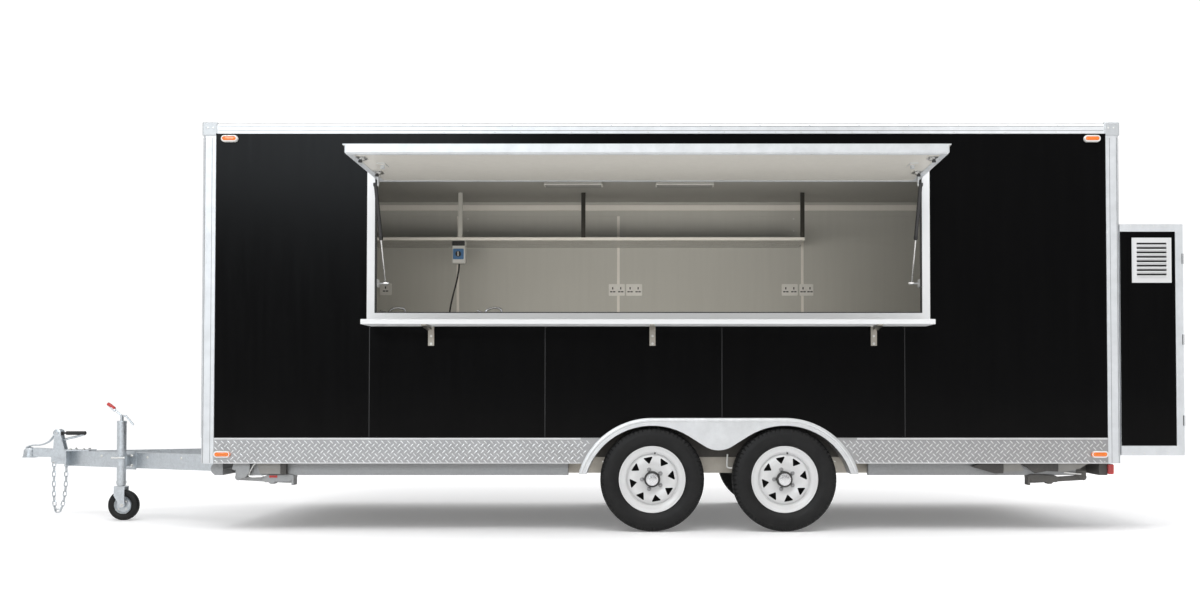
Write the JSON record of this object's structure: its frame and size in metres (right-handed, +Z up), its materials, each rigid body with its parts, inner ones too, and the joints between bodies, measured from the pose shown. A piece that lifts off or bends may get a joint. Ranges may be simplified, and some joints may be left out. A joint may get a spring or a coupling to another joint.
{
  "type": "food trailer",
  "caption": "Twin-axle food trailer with black panels, silver edge rails, tread-plate kick strips and a long serving hatch held open over its counter shelf.",
  "frame": {"origin": "centre of the bounding box at ground level", "axes": "+X runs from the coupling to the rear, +Y from the serving side to the far side, +Z up"},
  "size_m": [7.338, 2.9306, 2.414],
  "materials": {
    "aluminium_trim": "satin",
    "black_panel": "gloss",
    "black_steel": "satin",
    "blue_plastic": "gloss",
    "floor_sheet": "matt",
    "galvanised": "galvanised",
    "lamp_red": "gloss",
    "stainless": "brushed",
    "tread_plate": "embossed",
    "tyre": "matt",
    "white_panel": "satin",
    "white_steel": "gloss"
  },
  "bodies": {
    "trailer": {"axle_front": "galvanised", "axle_rear": "galvanised", "brake_lever": "black_steel", "chassis": "galvanised", "coupling": "galvanised", "edge_frame": "aluminium_trim", "floor": "floor_sheet", "jack_clamp": "galvanised", "jack_crank": "galvanised", "jack_tube": "galvanised", "kick_far_front": "tread_plate", "kick_far_rear": "tread_plate", "kick_front": "tread_plate", "kick_near_front": "tread_plate", "kick_near_rear": "tread_plate", "locker_vent": "white_panel", "mudguard_far": "white_panel", "mudguard_near": "white_panel", "rear_locker": "aluminium_trim", "roof": "white_panel", "safety_chain": "galvanised", "serving_frame": "white_panel", "switch_box": "blue_plastic", "tail_lamp_far": "lamp_red", "tail_lamp_near": "lamp_red", "wall_far": "black_panel", "wall_front": "black_panel", "wall_near": "black_panel", "wall_rear": "black_panel", "wall_shelf": "stainless", "worktop_far": "stainless", "worktop_near": "stainless"},
    "road_wheel_near_front": {"wheel_near_front": "white_steel", "tyre_near_front": "tyre"},
    "road_wheel_near_rear": {"wheel_near_rear": "white_steel", "tyre_near_rear": "tyre"},
    "road_wheel_far_front": {"wheel_far_front": "white_steel", "tyre_far_front": "tyre"},
    "road_wheel_far_rear": {"wheel_far_rear": "white_steel", "tyre_far_rear": "tyre"},
    "hatch": {"hatch": "black_panel"},
    "strut_tube_front": {"strut_tube_front": "black_steel"},
    "strut_rod_front": {"strut_rod_front": "stainless"},
    "strut_tube_rear": {"strut_tube_rear": "black_steel"},
    "strut_rod_rear": {"strut_rod_rear": "stainless"},
    "serving_shelf": {"serving_shelf": "white_panel"},
    "locker_door": {"locker_door": "black_panel"},
    "entry_door": {"entry_door": "white_panel"},
    "jack_leg": {"jack_leg": "galvanised"},
    "jack_fork": {"jack_fork": "galvanised"},
    "jack_wheel": {"jack_rim": "galvanised", "jack_tyre": "tyre"},
    "steady_near_front": {"steady_near_front": "galvanised"},
    "steady_near_rear": {"steady_near_rear": "galvanised"},
    "steady_far_front": {"steady_far_front": "galvanised"},
    "steady_far_rear": {"steady_far_rear": "galvanised"}
  },
  "joints": [
    {"name": "spin_near_front", "type": "hinge", "parent": "trailer", "child": "road_wheel_near_front", "pos_m": [0.542, -0.55018, 0.3075], "axis": [0, 1, 0], "continuous": true},
    {"name": "spin_near_rear", "type": "hinge", "parent": "trailer", "child": "road_wheel_near_rear", "pos_m": [1.321, -0.55018, 0.3075], "axis": [0, 1, 0], "continuous": true},
    {"name": "spin_far_front", "type": "hinge", "parent": "trailer", "child": "road_wheel_far_front", "pos_m": [0.542, 1.36082, 0.3075], "axis": [0, 1, 0], "continuous": true},
    {"name": "spin_far_rear", "type": "hinge", "parent": "trailer", "child": "road_wheel_far_rear", "pos_m": [1.321, 1.36082, 0.3075], "axis": [0, 1, 0], "continuous": true},
    {"name": "hatch_hinge", "type": "hinge", "parent": "trailer", "child": "hatch", "pos_m": [0.52, -0.64468, 2.11], "axis": [1, 0, 0], "range_deg": [0, 91]},
    {"name": "strut_swing_front", "type": "hinge", "parent": "hatch", "child": "strut_tube_front", "pos_m": [-1.042, -0.84468, 2.01], "axis": [1, 0, 0], "range_deg": [-121.5, 0]},
    {"name": "strut_slide_front", "type": "slide", "parent": "strut_tube_front", "child": "strut_rod_front", "axis": [0, -0.4511, 0.8925], "range_m": [0, 0.163]},
    {"name": "strut_swing_rear", "type": "hinge", "parent": "hatch", "child": "strut_tube_rear", "pos_m": [2.082, -0.84468, 2.01], "axis": [1, 0, 0], "range_deg": [-121.5, 0]},
    {"name": "strut_slide_rear", "type": "slide", "parent": "strut_tube_rear", "child": "strut_rod_rear", "axis": [0, -0.4511, 0.8925], "range_m": [0, 0.163]},
    {"name": "shelf_hinge", "type": "hinge", "parent": "trailer", "child": "serving_shelf", "pos_m": [0.52, -0.70298, 1.207], "axis": [1, 0, 0], "range_deg": [0, 90]},
    {"name": "locker_hinge", "type": "hinge", "parent": "trailer", "child": "locker_door", "pos_m": [3.663, -0.64168, 0.45], "axis": [0, 0, -1], "range_deg": [0, 110]},
    {"name": "entry_hinge", "type": "hinge", "parent": "trailer", "child": "entry_door", "pos_m": [3.2947, 1.25932, 0.551], "axis": [0, 0, 1], "range_deg": [0, 115]},
    {"name": "jack_slide", "type": "slide", "parent": "trailer", "child": "jack_leg", "axis": [0, 0, -1], "range_m": [0, 0.2]},
    {"name": "jack_swivel", "type": "hinge", "parent": "jack_leg", "child": "jack_fork", "pos_m": [-2.872, 0.08029, 0.219], "axis": [0, 0, 1], "continuous": true},
    {"name": "jack_spin", "type": "hinge", "parent": "jack_fork", "child": "jack_wheel", "pos_m": [-2.854, 0.08029, 0.0975], "axis": [0, 1, 0], "continuous": true},
    {"name": "steady_near_front_hinge", "type": "hinge", "parent": "trailer", "child": "steady_near_front", "pos_m": [-1.907, -0.54968, 0.318], "axis": [0, 1, 0], "range_deg": [0, 60]},
    {"name": "steady_near_rear_hinge", "type": "hinge", "parent": "trailer", "child": "steady_near_rear", "pos_m": [3.093, -0.54968, 0.318], "axis": [0, -1, 0], "range_deg": [0, 60]},
    {"name": "steady_far_front_hinge", "type": "hinge", "parent": "trailer", "child": "steady_far_front", "pos_m": [-1.907, 1.36032, 0.318], "axis": [0, 1, 0], "range_deg": [0, 60]},
    {"name": "steady_far_rear_hinge", "type": "hinge", "parent": "trailer", "child": "steady_far_rear", "pos_m": [3.093, 1.36032, 0.318], "axis": [0, -1, 0], "range_deg": [0, 60]}
  ],
  "couplings": [
    {"joint": "strut_swing_front", "follows": "hatch_hinge", "ratio": -1.3349},
    {"joint": "strut_slide_front", "follows": "hatch_hinge", "m_per_rad": 0.1026},
    {"joint": "strut_swing_rear", "follows": "hatch_hinge", "ratio": -1.3349},
    {"joint": "strut_slide_rear", "follows": "hatch_hinge", "m_per_rad": 0.1026}
  ]
}
